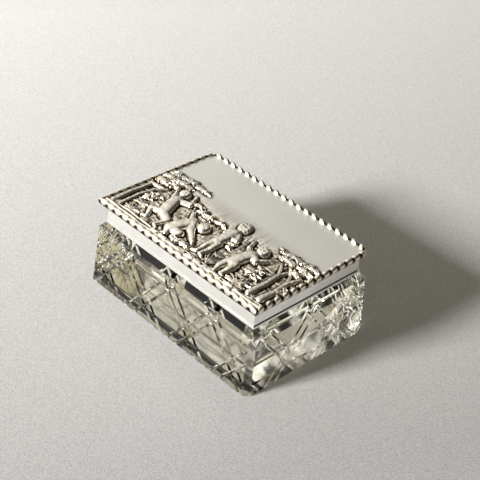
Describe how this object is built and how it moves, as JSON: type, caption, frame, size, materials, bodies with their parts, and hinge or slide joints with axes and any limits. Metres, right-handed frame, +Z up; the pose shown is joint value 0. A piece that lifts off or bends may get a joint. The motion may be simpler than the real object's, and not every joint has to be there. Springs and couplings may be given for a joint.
{
  "type": "stamp box",
  "caption": "Oblong cut-glass stamp box with scooped wells and a hinged silver lid with a scalloped border and an embossed top.",
  "frame": {"origin": "middle of the underside of the glass", "axes": "+X along the long side, +Y towards the hinge at the back, +Z up"},
  "size_m": [0.0646, 0.046, 0.0278],
  "materials": {
    "cut_glass": "clear polished lead glass with mitre cuts and a faint warm tint",
    "plaster": "matt white plaster of the mount's bed",
    "polished_silver": "polished silver with fine rubbing marks",
    "relief_silver": "embossed silver, bright on the high parts and darkened in the recesses",
    "pin_wire": "drawn hinge wire"
  },
  "bodies": {
    "base": {"glass_base": "cut_glass", "mount_bed": "plaster", "mount_flange": "polished_silver", "mount_bezel": "polished_silver", "mount_knuckle_left": "polished_silver", "mount_knuckle_middle": "polished_silver", "mount_knuckle_right": "polished_silver", "hinge_pin": "pin_wire"},
    "lid": {"lid_band": "polished_silver", "lid_plate": "relief_silver", "border_front": "relief_silver", "border_rear": "relief_silver", "border_left": "relief_silver", "border_right": "relief_silver", "lid_leaf": "polished_silver", "lid_knuckle_left": "polished_silver", "lid_knuckle_right": "polished_silver"}
  },
  "joints": [
    {"name": "lid_hinge", "type": "hinge", "parent": "base", "child": "lid", "pos_m": [0, 0.02096, 0.02075], "axis": [-1, 0, 0], "range_deg": [0, 105]}
  ]
}
